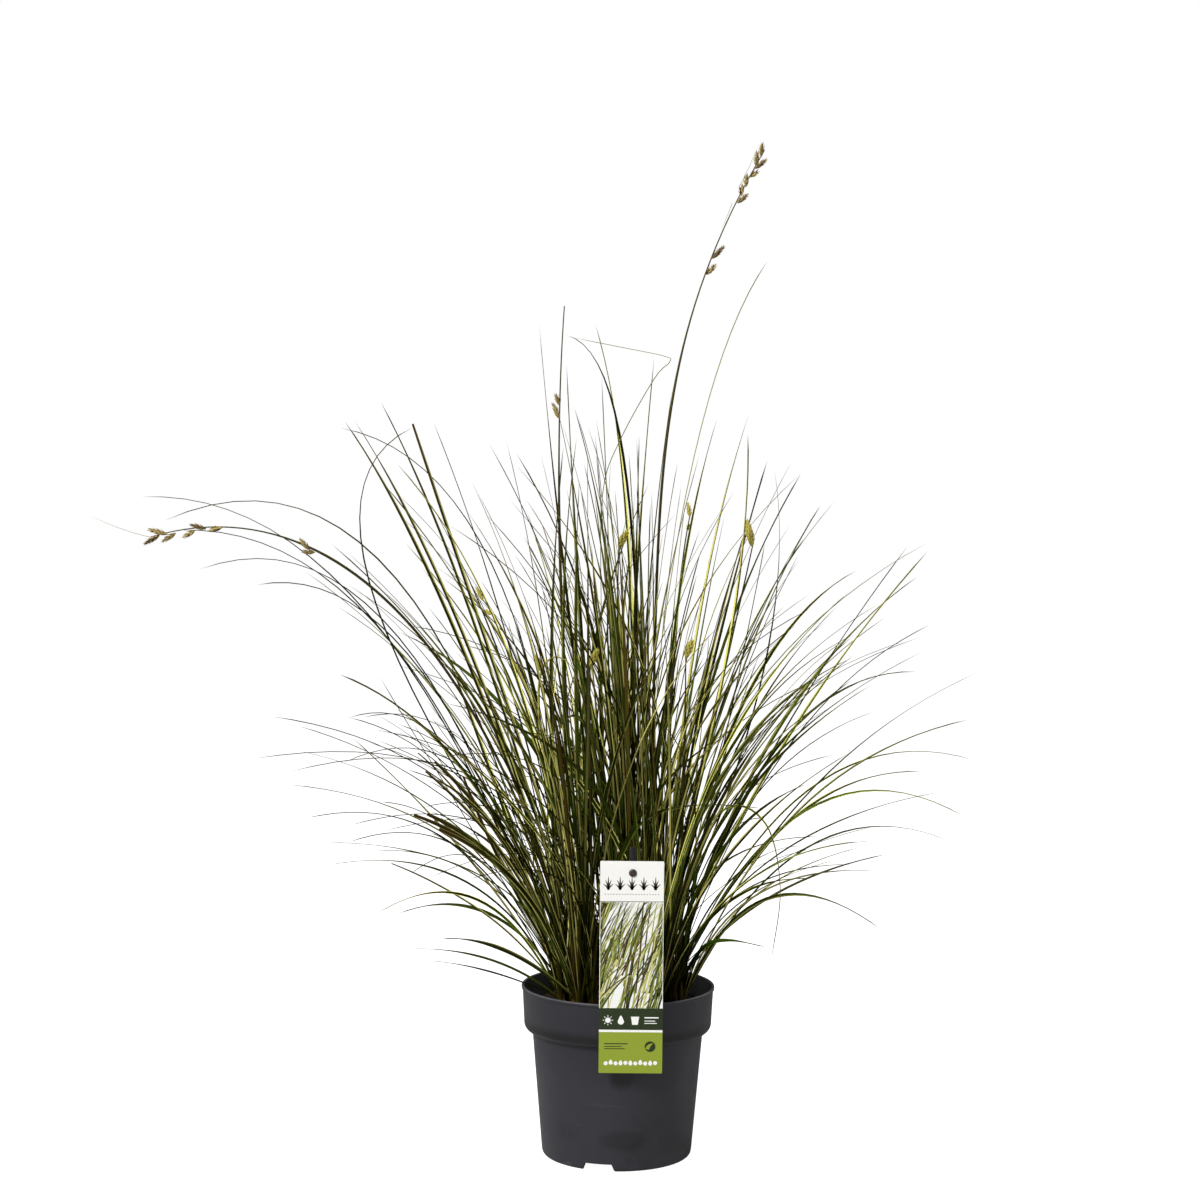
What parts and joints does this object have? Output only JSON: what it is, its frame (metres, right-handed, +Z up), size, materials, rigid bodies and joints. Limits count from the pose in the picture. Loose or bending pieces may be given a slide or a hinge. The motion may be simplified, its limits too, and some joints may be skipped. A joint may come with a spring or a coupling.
{
  "type": "potted sedge",
  "caption": "Variegated sedge with thin arching leaves and brown-headed flower stems, in a round plastic nursery pot with a hanging plant label.",
  "frame": {"origin": "centre of the pot's flat underside, on the ground", "axes": "+Z up along the pot's axis; the label hangs in front of the pot at -Y; +X is to the viewer's right"},
  "size_m": [0.7821, 0.5333, 0.8887],
  "materials": {
    "pot": "satin",
    "soil": "matte",
    "leaves": "satin",
    "flower_stems": "satin",
    "stake": "gloss",
    "label": "satin"
  },
  "bodies": {
    "root": {"pot": "pot", "soil": "soil", "shoot_1": "leaves", "shoot_2": "leaves", "shoot_3": "leaves", "shoot_4": "leaves", "shoot_5": "leaves", "shoot_6": "leaves", "shoot_7": "leaves", "shoot_8": "leaves", "shoot_9": "leaves", "shoot_10": "leaves", "shoot_11": "leaves", "shoot_12": "leaves", "shoot_13": "leaves", "shoot_14": "leaves", "shoot_15": "leaves", "shoot_16": "leaves", "shoot_17": "leaves", "shoot_18": "leaves", "shoot_19": "leaves", "shoot_20": "leaves", "shoot_21": "leaves", "shoot_22": "leaves", "shoot_23": "leaves", "shoot_24": "leaves", "shoot_25": "leaves", "shoot_26": "leaves", "shoot_27": "leaves", "shoot_28": "leaves", "shoot_29": "leaves", "shoot_30": "leaves", "shoot_31": "leaves", "shoot_32": "leaves", "shoot_33": "leaves", "shoot_34": "leaves", "flower_stem_1": "flower_stems", "flower_stem_2": "flower_stems", "flower_stem_3": "flower_stems", "flower_stem_4": "flower_stems", "flower_stem_5": "flower_stems", "flower_stem_6": "flower_stems", "flower_stem_7": "flower_stems", "flower_stem_8": "flower_stems", "flower_stem_9": "flower_stems", "flower_stem_10": "flower_stems", "label_stake": "stake", "label": "label"}
  },
  "joints": []
}
